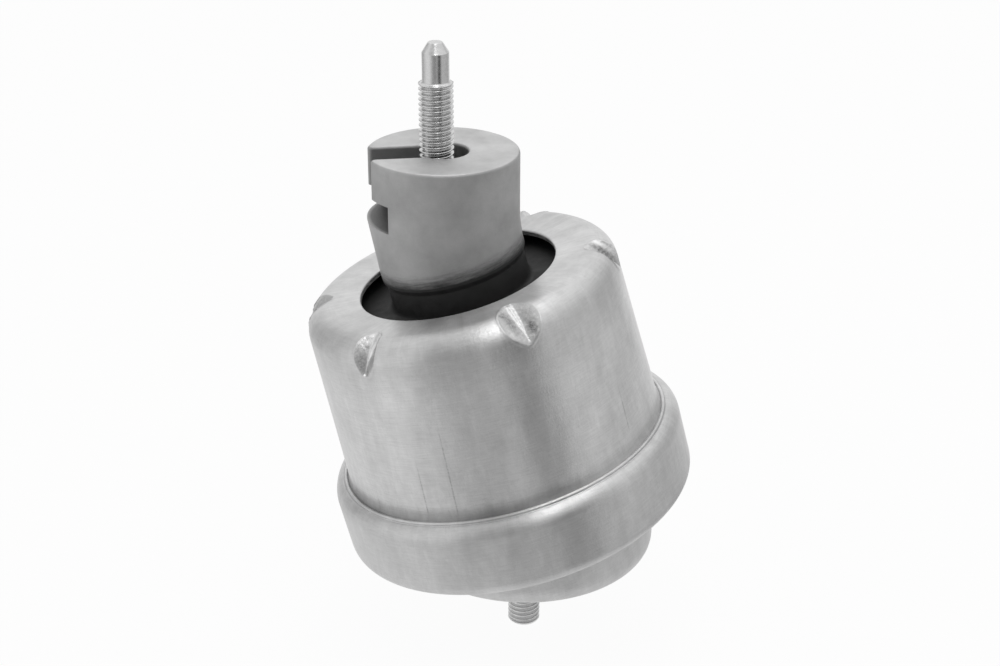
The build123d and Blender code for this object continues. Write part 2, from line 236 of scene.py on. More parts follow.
# Camera in millimetres, found from the outlines of the round parts in the photograph
CAMERA_PLACE = (-25.837, -488.428, 292.137)
CAMERA_RIGHT = (0.999332, -0.036516, 0.001253)
CAMERA_FORWARD = (0.033801, 0.910928, -0.411178)
CAMERA_LENS = 65.05
CAMERA_SENSOR = 36.0

# Lamps in metres and watts: name, place, size and power. All face LAMP_TARGET.
LAMPS = (
    ("top", (-0.01, 0.05, 1.25), 0.36, 1.2),
    ("broad", (0.3, 0.3, 1.2), 0.9, 0.6),
    ("front", (-0.02, -0.44, 0.96), 0.2, 0.62),
)
LAMP_TARGET = (-0.01, 0.0, 0.06)
WORLD_STRENGTH = 0.6

# Floor: half its width in metres, its gap under the stud, and its share of white as seen and as mirrored
FLOOR_HALF = 3.0
FLOOR_GAP = 0.2
FLOOR_SEEN = 0.95
FLOOR_MIRRORED = 0.85

# Grey card that the metal mirrors: azimuth in degrees and tone, then the step between its columns
SURROUND_TONES = (
    (-240, 1.0),
    (-225, 0.56),
    (-205, 0.58),
    (-190, 0.80),
    (-170, 1.0),
    (-145, 1.0),
    (-132, 0.80),
    (-118, 0.44),
    (-100, 0.36),
    (-92, 0.38),
    (-84, 0.62),
    (-76, 0.28),
    (-66, 0.06),
    (-56, 0.08),
    (-50, 0.42),
    (-42, 0.68),
    (0, 0.61),
    (35, 0.54),
    (60, 1.0),
)
SURROUND_STEP = 2.5
# Cover by azimuth of the apron on the floor, of the skirt before the card and of the dome over it
APRON_COVER = ((-240, 0.0), (-150, 0.35), (-120, 0.6), (-60, 0.8), (20, 0.7), (60, 0.0))
APRON_TONE = 0.25
SKIRT_COVER = ((-240, 0.0), (-134, 0.0), (-130, 1.0), (-48, 1.0), (-44, 0.0), (60, 0.0))
DOME_COVER = ((-240, 0.0), (-165, 0.0), (-150, 0.45), (-112, 0.45), (-102, 0.0), (60, 0.0))
DOME_TONE = 0.35
# Radius and height of the card's rows in metres, then the shares of apron, skirt, wall and dome
SURROUND_ROWS = (
    (0.08, -0.0275, 0.0, 0.0, 0.0, 0.0),
    (0.12, -0.0275, 1.0, 0.0, 0.0, 0.0),
    (0.18, -0.0275, 1.0, 0.0, 0.0, 0.0),
    (0.23, -0.0275, 0.1, 0.0, 0.0, 0.0),
    (0.27, -0.0275, 0.1, 0.0, 0.0, 0.0),
    (0.28, -0.0275, 0.0, 1.0, 0.0, 0.0),
    (0.315, -0.0275, 0.0, 1.0, 0.0, 0.0),
    (0.32, -0.0250, 0.0, 0.0, 1.0, 0.0),
    (0.32, 0.20, 0.0, 0.0, 1.0, 0.0),
    (0.30, 0.32, 0.0, 0.0, 0.0, 1.0),
    (0.22, 0.48, 0.0, 0.0, 0.0, 1.0),
    (0.18, 0.54, 0.0, 0.0, 0.0, 0.0),
)


def in_housing(radius, level, angle):
    """Points in the row frame from a radius, a level and an angle round the housing's axis."""
    radius, level, angle = np.broadcast_arrays(radius, level, angle)
    spoke = np.cos(angle)[..., None] * HOUSING_OUT + np.sin(angle)[..., None] * HOUSING_SIDE
    return HOUSING_BASE + radius[..., None] * spoke + level[..., None] * HOUSING_UP


def height_at_level(level, x):
    """Height above the foot of a level plane, over a given x."""
    return (level + sin(HOUSING_TILT) * (x - HOUSING_SHIFT)) / cos(HOUSING_TILT)


def rounded_path(corners, step, arc_turn=radians(6)):
    """Points of an open path. A corner is (x, y, fillet, step), where the last two may be left out,
    and a corner's own step holds for the run that ends there and for its arc."""
    spots = [np.array(corner[:2], float) for corner in corners]
    fillets = [corner[2] if len(corner) > 2 else 0 for corner in corners]
    steps = [corner[3] if len(corner) > 3 else step for corner in corners]
    path = [spots[0]]

    def run_to(end, spacing):
        start = path[-1]
        count = max(1, ceil(np.linalg.norm(end - start) / spacing - 1e-6))
        path.extend(start + (end - start) * k / count for k in range(1, count + 1))

    for index in range(1, len(spots) - 1):
        here = spots[index]
        incoming = here - spots[index - 1]
        incoming = incoming / np.linalg.norm(incoming)
        outgoing = spots[index + 1] - here
        outgoing = outgoing / np.linalg.norm(outgoing)
        across = incoming[0] * outgoing[1] - incoming[1] * outgoing[0]
        turn = atan2(across, incoming @ outgoing)
        fillet = fillets[index]
        if fillet == 0 or abs(turn) < 1e-4:
            run_to(here, steps[index])
            continue
        cut = fillet * tan(abs(turn) / 2)
        inward = np.array([-incoming[1], incoming[0]]) * np.sign(turn)
        centre = here - incoming * cut + inward * fillet
        run_to(here - incoming * cut, steps[index])
        count = max(2, ceil(abs(turn) / arc_turn), ceil(abs(turn) * fillet / steps[index]))
        for k in range(1, count + 1):
            c, s = cos(turn * k / count), sin(turn * k / count)
            arm = -inward * fillet
            path.append(centre + np.array([c * arm[0] - s * arm[1], s * arm[0] + c * arm[1]]))
    run_to(spots[-1], steps[-1])
    return np.array(path)


def mesh_from_rings(name, rings, closed):
    """A mesh whose faces join each ring of points to the next. An open stack of rings gets flat ends."""
    rows, columns = rings.shape[:2]
    points = rings.reshape(-1, 3)
    row = np.arange(rows if closed else rows - 1)
    column = np.arange(columns)
    a = (row[:, None] * columns + column[None, :]).ravel()
    b = (row[:, None] * columns + (column[None, :] + 1) % columns).ravel()
    up = ((row[:, None] + 1) % rows) * columns
    c = (up + (column[None, :] + 1) % columns).ravel()
    d = (up + column[None, :]).ravel()
    faces = np.stack([a, b, c, d], 1).tolist()
    if not closed:
        points = np.vstack([points, rings[0].mean(0), rings[-1].mean(0)])
        low, high = len(points) - 2, len(points) - 1
        last = (rows - 1) * columns
        faces += [[low, (k + 1) % columns, k] for k in range(columns)]
        faces += [[high, last + k, last + (k + 1) % columns] for k in range(columns)]
    mesh = bpy.data.meshes.new(name)
    mesh.from_pydata((points * MM).tolist(), [], faces)
    work = bmesh.new()
    work.from_mesh(mesh)
    bmesh.ops.recalc_face_normals(work, faces=work.faces)
    work.to_mesh(mesh)
    work.free()
    mesh.shade_smooth()
    piece = bpy.data.objects.new(name, mesh)
    bpy.context.scene.collection.objects.link(piece)
    return piece


def stands_for(piece, node, material):
    """Puts a piece in a CAD node's place and material."""
    piece.data.materials.append(material)
    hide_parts(node)
    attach(piece, "root")


def wobble(angle, seed, terms=5):
    """A smooth wave round the axis between about -1 and 1, the same each run."""
    dice = np.random.default_rng(seed)
    wave = np.zeros_like(angle)
    for order in range(2, 2 + terms):
        wave += dice.uniform(0.3, 1.0) * np.sin(order * angle + dice.uniform(0, tau))
    return wave / terms


# Upper can
def smooth_min(one, two, blend):
    """The smaller of two arrays, rounded where they cross."""
    share = np.clip(0.5 + 0.5 * (two - one) / blend, 0, 1)
    return two * (1 - share) + one * share - blend * share * (1 - share)


def gusset_angle(number):
    return GUSSET_TURN + number * tau / len(GUSSETS) + radians(GUSSETS[number]["shift"])


def gusset_floor(gusset, across, along, dents):
    """How far out a gusset's pressed surface lies, measured square to the shoulder's 45 degree line."""
    valley = gusset["valley"] + gusset["twist"] * along
    flat = gusset["flat"] * np.clip(0.55 + 0.14 * along, 0.1, 1)  # wider towards the top
    reach = np.where(across > valley, gusset["right"] - valley, gusset["left"] + valley) - flat
    rise = np.clip(np.abs(across - valley) - flat, 0, None) / reach
    floor = CAN_SHOULDER - gusset["depth"] * (1 - rise ** gusset["power"])
    floor = floor + gusset["lean"] * along - gusset["bow"] * along**2
    ridge = np.exp(-(((across - valley) / GUSSET_RIDGE_WIDTH) ** 2)) * (flat > 0.25)
    width = np.where(across > 0, gusset["right"], gusset["left"])
    oval = np.hypot(across / width, (along - gusset["middle"]) / gusset["length"])
    wall = np.clip(oval - GUSSET_OVAL, 0, None) ** 2
    return floor + GUSSET_RIDGE * ridge + GUSSET_WALL * wall + dents, oval


def press_gussets(radius, level, angle, sheet):
    """Moves points of the shoulder in to the floors of the six gussets. Also gives the share by which
    each point is pressed, and the painted shade and highlight that its marks put on it."""
    shoulder_radius = CAN_TOP_RADIUS - CAN_SHOULDER
    shoulder_level = CAN_TOP - CAN_SHOULDER
    pressed_share, shade_and_highlight = np.zeros(radius.shape), np.zeros(radius.shape)
    dice = np.random.default_rng(8)
    waves = [
        (dice.uniform(1.5, 5.0), dice.uniform(1.5, 5.0), dice.uniform(0, tau)) for _ in range(DENT_WAVES)
    ]
    for number, gusset in enumerate(GUSSETS):
        away = (angle - gusset_angle(number) + pi) % tau - pi
        outward = (radius - shoulder_radius + level - shoulder_level) / 2**0.5
        along = (level - shoulder_level - radius + shoulder_radius) / 2**0.5
        across = away * radius
        dents = sum(np.sin(u * across + v * along + w + number) for u, v, w in waves) * DENT_DEPTH
        floor, oval = gusset_floor(gusset, across, along, dents)
        floor = floor - sheet
        pressed = smooth_min(outward, floor, GUSSET_ROUND)
        lip_away = (floor - outward - GUSSET_LIP_PLACE) / GUSSET_LIP_WIDTH
        lip = GUSSET_LIP * np.exp(-(lip_away**2)) * (oval < 1.5)
        near = np.abs(away) < GUSSET_REACH
        near = near & (radius > GUSSET_LEAST_RADIUS) & (level > GUSSET_LEAST_LEVEL)
        pressed_share = np.where(near, np.clip((outward - pressed) / 0.3, 0, 1), pressed_share)
        # Painted shade where a mark's amount is above nought, a painted highlight where it is below
        for amount, place, height, width, length in gusset["marks"]:
            mark_distance = np.hypot((across - place) / width, (along - height) / length)
            shade_and_highlight = shade_and_highlight + np.where(near, amount * np.exp(-(mark_distance**2)), 0)
        shift = np.where(near, pressed - outward + lip, 0) / 2**0.5
        radius = radius + shift
        level = level + shift
    return radius, level, pressed_share, shade_and_highlight * pressed_share


def can_angles():
    """Angles round the can, close together across each gusset."""
    dense = radians(11)
    dense_count, sparse_count = 56, 18
    angles = []
    for number in range(len(GUSSETS)):
        middle = gusset_angle(number)
        following = gusset_angle((number + 1) % len(GUSSETS))
        rest = (following - middle) % tau - 2 * dense
        angles.extend(np.linspace(middle - dense, middle + dense, dense_count, endpoint=False))
        sparse = np.linspace(middle + dense, middle + dense + rest, sparse_count, endpoint=False)
        angles.extend(sparse)
    return np.array(angles)


def make_can(material):
    flange_top = CAN_FOOT + CAN_SHEET
    dish_radius = CAN_TOP_RADIUS - CAN_SHOULDER - CAN_FLAT
    opening_top = CAN_TOP - CAN_DISH
    taper = (CAN_BASE_RADIUS - CAN_TOP_RADIUS) / (CAN_TOP - flange_top)
    # Points lie close together from just below the gussets to a little way into the dish
    fine, inner_fine, coarse = 0.32, 1.0, 2.5
    zone, middle = 79.0, 60.0
    zone_radius = CAN_BASE_RADIUS - taper * (zone - flange_top)
    middle_radius = CAN_BASE_RADIUS - taper * (middle - flange_top)
    fine_dish = 5.0
    fine_dish_level = CAN_TOP - CAN_DISH * fine_dish / (dish_radius - OPENING_RADIUS)
    flare_foot = CAN_BASE_RADIUS - 0.1
    flare = [
        (flare_foot + CAN_FLARE * (1 - cos(turn)), flange_top + CAN_FLARE * (1 - sin(turn)))
        for turn in np.radians(np.linspace(42, 0, 9))
    ]
    outer = rounded_path(
        (
            (middle_radius, middle),
            (zone_radius, zone),
            (CAN_TOP_RADIUS, CAN_TOP, CAN_SHOULDER, fine),
            (dish_radius, CAN_TOP, 0, fine),
            (dish_radius - fine_dish, fine_dish_level, 0, fine),
            (OPENING_RADIUS, opening_top, CAN_EDGE, coarse),
            (OPENING_RADIUS, opening_top - CAN_EDGE),
        ),
        coarse,
    )
    inner = rounded_path(
        (
            (OPENING_RADIUS, opening_top - CAN_EDGE),
            (OPENING_RADIUS, opening_top - CAN_SHEET, CAN_EDGE),
            (dish_radius, CAN_TOP - CAN_SHEET, 0, inner_fine),
            (CAN_TOP_RADIUS - CAN_SHEET, CAN_TOP - CAN_SHEET, CAN_SHOULDER - CAN_SHEET, inner_fine),
            (zone_radius - CAN_SHEET, zone, 0, inner_fine),
            (CAN_BASE_RADIUS - CAN_SHEET, flange_top),
            (CAN_BASE_RADIUS - CAN_SHEET, CAN_FOOT, CAN_SHEET - CAN_BEND),
            (CAN_FLANGE_RADIUS, CAN_FOOT),
            (CAN_FLANGE_RADIUS, flange_top, CAN_SHEET / 2),
            *flare,
            (middle_radius, middle),
        ),
        coarse,
    )
    sheet = np.concatenate([np.zeros(len(outer)), np.full(len(inner) - 2, CAN_SHEET)])
    outline = np.vstack([outer, inner[1:-1]])
    angle = can_angles()[None, :]
    radius = np.repeat(outline[:, :1], angle.shape[1], 1)
    level = np.repeat(outline[:, 1:], angle.shape[1], 1)
    angle = np.broadcast_to(angle, radius.shape)
    radius, level, pressed, shade_and_highlight = press_gussets(radius, level, angle, sheet[:, None])
    piece = mesh_from_rings("can_shell", in_housing(radius, level, angle), True)
    for name, values in (("pressed", pressed), ("shade_and_highlight", shade_and_highlight)):
        piece.data.attributes.new(name, "FLOAT", "POINT").data.foreach_set("value", values.ravel())
    stands_for(piece, "upper_can", material)


# Base pan with its rolled rim and wedge foot
def foot_ring(radius, height, angle):
    """Points round the stud's axis."""
    radius, height = np.broadcast_to(radius, angle.shape), np.broadcast_to(height, angle.shape)
    return np.stack([radius * np.cos(angle), radius * np.sin(angle), height], -1)


def foot_profile(height):
    """Outer radius of the foot at a height, with its rounded lower corner."""
    rise = np.clip(FOOT_CORNER - height, 0, FOOT_CORNER)
    return FOOT_RADIUS - FOOT_CORNER + np.sqrt(FOOT_CORNER**2 - rise**2)


def make_pan(material):
    columns = 320
    angle = np.linspace(0, tau, columns, endpoint=False)
    floor_level = PAN_FLOOR + PAN_SHEET
    inner_radius = PAN_RADIUS - PAN_SHEET
    flange_top = CAN_FOOT + CAN_SHEET
    bead_centre = np.array([PAN_RADIUS - PAN_BEAD, RIM_TOP - PAN_BEAD])
    lip_centre = np.array([RIM_RADIUS + RIM_LIP, RIM_TOP - RIM_LIP_DROP])
    flat_radius = PAN_RADIUS - PAN_CORNER
    rings = []

    # Foot: wall from the blend down, underside and hole
    junction = height_at_level(PAN_FLOOR, FOOT_RADIUS * np.cos(angle))
    wall_top = junction - FOOT_BLEND
    blend_radius = FOOT_RADIUS + FOOT_BLEND
    blend_out = height_at_level(PAN_FLOOR, blend_radius * np.cos(angle))
    hole = foot_ring(FOOT_HOLE_RADIUS, 0.0, angle)
    rings.append(hole)
    for radius in (14.0, 24.0, 31.0):
        rings.append(foot_ring(radius, 0.0, angle))
    for share in np.linspace(1, 0, 20):
        height = wall_top * (1 - share) ** 2
        rings.append(foot_ring(foot_profile(height), height, angle))
    wall_end = rings[-1]
    corner = foot_ring(foot_profile(junction), junction, angle)
    blend_end = foot_ring(blend_radius, blend_out, angle)
    for share in np.linspace(0, 1, 9)[1:]:
        curve = wall_end * (1 - share) ** 2 + corner * 2 * share * (1 - share) + blend_end * share**2
        rings.append(curve)
    flat_end = in_housing(flat_radius, PAN_FLOOR, angle)
    for share in (0.25, 0.5, 0.75):
        rings.append(blend_end * (1 - share) + flat_end * share)

    # Pan: corner, wall, bead, groove, lip and the clamped inside
    wave = RIM_WAVE * wobble(angle, 3)
    outline = rounded_path(
        (
            (flat_radius, PAN_FLOOR),
            (PAN_RADIUS, PAN_FLOOR, PAN_CORNER),
            (PAN_RADIUS, bead_centre[1]),
        ),
        1.6,
    )
    rings.extend(in_housing(radius, level, angle) for radius, level in outline)
    for turn in np.radians(np.linspace(4, 68, 17)):
        radius, level = bead_centre + PAN_BEAD * np.array([cos(turn), sin(turn)])
        rings.append(in_housing(radius, level - RIM_WAVE + sin(turn) * wave, angle))
    for turn in np.radians(np.linspace(-25, 185, 15)):
        radius, level = lip_centre + RIM_LIP * np.array([cos(turn), sin(turn)])
        rings.append(in_housing(radius, level - RIM_WAVE + wave, angle))
    clamp = rounded_path(
        (
            (RIM_RADIUS, flange_top + 1.6),
            (RIM_RADIUS, flange_top),
            (inner_radius, flange_top, PAN_BEAD_INNER),
            (inner_radius, floor_level, PAN_CORNER_INNER),
            (flat_radius - 2, floor_level),
        ),
        4.0,
    )
    rings.extend(in_housing(radius, level, angle) for radius, level in clamp)

    # Inside of the foot
    inside_radius = FOOT_RADIUS - FOOT_WALL
    inside_corner = FOOT_CORNER - FOOT_WALL
    inside_top = height_at_level(floor_level, inside_radius * np.cos(angle))
    rings.append(foot_ring(inside_radius, inside_top, angle))
    rings.append(foot_ring(inside_radius, FOOT_FLOOR + inside_corner, angle))
    for turn in np.radians((30, 60, 90)):
        radius = inside_radius - inside_corner * (1 - cos(turn))
        rings.append(foot_ring(radius, FOOT_FLOOR + inside_corner * (1 - sin(turn)), angle))
    rings.append(foot_ring(FOOT_HOLE_RADIUS, FOOT_FLOOR, angle))
    piece = mesh_from_rings("pan_shell", np.array(rings), True)
    stands_for(piece, "base_pan", material)


# Studs
def thread_rows(low, high, run_out_low, run_out_high, angle):
    """Heights and radii of a right-hand thread's rows, with its grooves fading out at each end."""
    rows = np.arange(low, high, THREAD_PITCH / ROWS_PER_TURN)
    phase = (rows[:, None] / THREAD_PITCH - angle[None, :] / tau) % 1
    slope = 1 - 2 * np.abs(phase - 0.5)
    groove = np.clip((slope - THREAD_CREST) / THREAD_FLANK, 0, 1)
    fade = np.clip((rows - low) / run_out_low, 0, 1) * np.clip((high - rows) / run_out_high, 0, 1)
    return rows, THREAD_RADIUS - THREAD_DEPTH * groove * fade[:, None]


def stack_rings(rows, centre, angle):
    """Rings from (height, radius) rows, where a radius is one number or one for each angle."""
    rings = []
    for height, radius in rows:
        radius = np.broadcast_to(radius, angle.shape)
        rings.append(
            np.stack(
                [
                    centre[0] + radius * np.cos(angle),
                    centre[1] + radius * np.sin(angle),
                    np.full(angle.shape, height),
                ],
                -1,
            )
        )
    return np.array(rings)


def make_top_bolt(material):
    angle = SLOT_TURN + np.linspace(0, tau, STUD_COLUMNS, endpoint=False)
    face = (angle - SLOT_TURN) % (tau / 6) - tau / 12
    hexagon = BOLT_APOTHEM / np.cos(face)
    collar_base = BOLT_HEAD_BASE + BOLT_HEAD_HEIGHT
    collar_top = collar_base + COLLAR_HEIGHT
    thread_low = CORE_TOP - 3.0
    thread_high = DOG_BASE - 0.5
    heights, radii = thread_rows(thread_low, thread_high, 1.0, 0.9, angle - SLOT_TURN)
    rows = [
        (BOLT_HEAD_BASE, BOLT_APOTHEM - 0.3),
        (BOLT_HEAD_BASE + BOLT_HEAD_CHAMFER, hexagon),
        (collar_base, hexagon),
        (collar_base, COLLAR_RADIUS - COLLAR_EDGE),
        (collar_base + COLLAR_EDGE, COLLAR_RADIUS),
        (collar_top - COLLAR_EDGE, COLLAR_RADIUS),
        (collar_top, COLLAR_RADIUS - COLLAR_EDGE),
        (collar_top, SHANK_RADIUS + SHANK_BLEND),
        (collar_top + SHANK_BLEND, SHANK_RADIUS),
        (thread_low - 0.4, SHANK_RADIUS),
    ]
    rows += list(zip(heights, radii))
    # Dog point: a small shoulder, the plain length, a rounded edge, the cone and its rounded end
    rows += [
        (thread_high, THREAD_RADIUS - 0.5),
        (DOG_BASE - 0.1, DOG_RADIUS + 0.12),
        (DOG_BASE + 0.15, DOG_RADIUS),
        (DOG_BASE + 3.0, DOG_RADIUS),
        (DOG_TOP - 0.12, DOG_RADIUS),
        (DOG_TOP + 0.02, DOG_RADIUS - 0.04),
        (DOG_TOP + 0.12, DOG_RADIUS - 0.12),
        (DOG_TOP + 0.3, DOG_RADIUS - 0.24),
        (TIP - 0.36, TIP_RADIUS + 0.2),
        (TIP - 0.2, TIP_RADIUS + 0.1),
        (TIP - 0.06, TIP_RADIUS),
        (TIP, TIP_RADIUS - 0.12),
        (TIP, TIP_RADIUS - 0.3),
        (TIP, TIP_RADIUS - 0.8),
    ]
    piece = mesh_from_rings("bolt", stack_rings(rows, BOLT_AXIS, angle), False)
    stands_for(piece, "top_bolt", material)


def make_lower_stud(material):
    angle = np.linspace(0, tau, STUD_COLUMNS, endpoint=False)
    thread_low = -STUD_LENGTH + 1.2
    heights, radii = thread_rows(thread_low, -0.1, 0.8, 0.5, angle)
    # Rounded end, thread, neck through the foot and the head inside it
    rows = [
        (-STUD_LENGTH, THREAD_RADIUS - 2.3),
        (-STUD_LENGTH, THREAD_RADIUS - 1.75),
        (-STUD_LENGTH + 0.1, THREAD_RADIUS - 1.25),
        (-STUD_LENGTH + 0.35, THREAD_RADIUS - 0.75),
        (-STUD_LENGTH + 0.75, THREAD_RADIUS - 0.3),
        (-STUD_LENGTH + 1.1, THREAD_RADIUS - 0.08),
    ]
    rows += list(zip(heights, radii))
    rows += [
        (0.0, THREAD_RADIUS),
        (0.0, STUD_NECK_RADIUS),
        (FOOT_FLOOR, STUD_NECK_RADIUS),
        (FOOT_FLOOR, STUD_HEAD_RADIUS),
        (STUD_HEAD_TOP - STUD_HEAD_EDGE, STUD_HEAD_RADIUS),
        (STUD_HEAD_TOP, STUD_HEAD_RADIUS - STUD_HEAD_EDGE),
    ]
    piece = mesh_from_rings("stud", stack_rings(rows, (0.0, 0.0), angle), False)
    stands_for(piece, "lower_stud", material)


# Materials
def node(tree, kind, inputs=None, **settings):
    """Adds a shader node; an input is a value or another node's socket."""
    made = tree.nodes.new("ShaderNode" + kind)
    for key, value in settings.items():
        setattr(made, key, value)
    for key, value in (inputs or {}).items():
        if isinstance(value, bpy.types.NodeSocket):
            tree.links.new(value, made.inputs[key])
        else:
            made.inputs[key].default_value = value
    return made


def new_material(name, **fixed):
    """A material, its tree and its Principled shader, with plain values set on the shader's sockets."""
    material = bpy.data.materials.new(name)
    material.use_nodes = True
    tree = material.node_tree
    shader = tree.nodes["Principled BSDF"]
    for key, value in fixed.items():
        shader.inputs[key.replace("_", " ")].default_value = value
    return material, tree, shader


def combine(tree, operation, *values):
    """Joins numbers or sockets from left to right by one operation."""
    result = values[0]
    for value in values[1:]:
        result = node(tree, "Math", {0: result, 1: value}, operation=operation).outputs[0]
    return result


def absolute(tree, value):
    return node(tree, "Math", {0: value}, operation="ABSOLUTE").outputs[0]


def one_minus(tree, value):
    return combine(tree, "SUBTRACT", 1.0, value)


def vector(tree, operation, *values):
    """Result of an operation on vectors, which is a number for a length."""
    made = node(tree, "VectorMath", dict(enumerate(values)), operation=operation)
    return made.outputs[1 if operation == "LENGTH" else 0]


def stretched(tree, place, scale):
    return vector(tree, "MULTIPLY", place, scale)


def split(tree, value):
    """The x, y and z of a vector."""
    return node(tree, "SeparateXYZ", {0: value}).outputs


def remap(tree, value, low, high, to_low, to_high, kind="LINEAR"):
    """Maps low to high onto to_low to to_high, and stays at those ends beyond them."""
    inputs = {"Value": value, "From Min": low, "From Max": high, "To Min": to_low, "To Max": to_high}
    return node(tree, "MapRange", inputs, interpolation_type=kind).outputs[0]


def noise(tree, place, scale, detail, roughness):
    inputs = {"Vector": place, "Scale": scale, "Detail": detail, "Roughness": roughness}
    return node(tree, "TexNoise", inputs).outputs["Fac"]


def spread(tree, pattern, low, high):
    """Maps a noise to a range. Most of a noise lies between 0.3 and 0.7."""
    return remap(tree, pattern, 0.3, 0.7, low, high)


def spread_hard(tree, pattern, low, high):
    """Maps a noise to a range with more contrast."""
    return remap(tree, pattern, 0.35, 0.65, low, high)


def grey(tree, value):
    """A grey colour from a number."""
    return node(tree, "CombineColor", {0: value, 1: value, 2: value}).outputs[0]


def bump(tree, height, strength, distance, below=None):
    inputs = {"Height": height, "Strength": strength, "Distance": distance}
    if below is not None:
        inputs["Normal"] = below
    return node(tree, "Bump", inputs).outputs[0]


def object_place(tree):
    return node(tree, "TexCoord").outputs["Object"]


def from_housing_base(tree):
    """Object coordinates in metres, counted from the foot of the housing's axis."""
    return vector(tree, "SUBTRACT", object_place(tree), tuple(HOUSING_BASE * MM))


def housing_coordinates(tree):
    """Object coordinates in millimetres, turned upright along the housing's axis."""
    inputs = {"Vector": from_housing_base(tree), "Rotation": (0, HOUSING_TILT, 0)}
    turned = node(tree, "Mapping", inputs).outputs[0]
    return node(tree, "VectorMath", {0: turned, "Scale": 1 / MM}, operation="SCALE").outputs[0]


def circumference(tree):
    """World direction that runs round the housing's axis."""
    round_axis = vector(tree, "CROSS_PRODUCT", tuple(HOUSING_UP), from_housing_base(tree))
    turned = node(
        tree,
        "VectorTransform",
        {0: round_axis},
        vector_type="VECTOR",
        convert_from="OBJECT",
        convert_to="WORLD",
    )
    return vector(tree, "NORMALIZE", turned.outputs[0])


def scratches(tree, place, level, grain):
    """Share of light left by a few long scratches down the can's wall."""
    sides = split(tree, place)
    turn = combine(tree, "ARCTAN2", sides[1], sides[0])
    uneven = spread_hard(tree, grain, 0.1, 0.4)
    shares = []
    for angle, low, high in SCRATCHES:
        lean = combine(tree, "MULTIPLY", combine(tree, "SUBTRACT", level, low), SCRATCH_LEAN)
        gap = absolute(tree, combine(tree, "SUBTRACT", turn, angle, lean))
        line = remap(tree, gap, 0.0, SCRATCH_WIDTH, 1.0, 0.0)
        foot = remap(tree, level, low - 1, low + 2, 0.0, 1.0)
        head = remap(tree, level, high - 8, high, 1.0, 0.0)
        shares.append(one_minus(tree, combine(tree, "MULTIPLY", line, foot, head, uneven)))
    return combine(tree, "MULTIPLY", *shares)


def draw_scars(tree, streaks, cloud):
    """Share of light left by thin lines down the sheet, which show in patches."""
    off_middle = absolute(tree, combine(tree, "SUBTRACT", streaks, 0.5))
    line = remap(tree, off_middle, 0.0, 0.012, 0.90, 1.0)
    clear = remap(tree, cloud, 0.45, 0.55, 1.0, 0.0)
    return combine(tree, "MAXIMUM", line, clear)


def rim_painted_shade(tree, level, reach, spoke, ray):
    """Share of light left on the can's wall by painted shade just above the pan's rim, less at the right.
    """
    ragged = combine(tree, "ADD", level, spread(tree, noise(tree, ray, 18.0, 3.0, 0.6), -0.4, 0.4))
    # Painted shade in a band over the rim, with a ragged upper edge
    shade_band = remap(tree, ragged, RIM_TOP - 0.2, RIM_TOP + RIM_SHADE_HEIGHT, RIM_SHADE_DEPTH, 0.0, "SMOOTHSTEP")
    inside_rim = remap(tree, reach, RIM_RADIUS - 0.05, RIM_RADIUS + 0.1, 1.0, 0.0)
    above_foot = remap(tree, level, CAN_FOOT, CAN_FOOT + 1, 0.0, 1.0)
    by_side = remap(tree, split(tree, spoke)[0], 0.1, 0.8, 1.0, 0.4)
    return one_minus(tree, combine(tree, "MULTIPLY", shade_band, inside_rim, above_foot, by_side))


def cut_edge(tree, level, reach):
    """1 on the sheet's cut edge round the opening and 0 elsewhere."""
    opening_top = CAN_TOP - CAN_DISH
    at_edge = remap(tree, reach, OPENING_RADIUS + 0.12, OPENING_RADIUS + 0.5, 1.0, 0.0)
    below_top = remap(tree, level, opening_top - 0.6, opening_top - 0.2, 1.0, 0.0)
    return combine(tree, "MULTIPLY", at_edge, below_top)


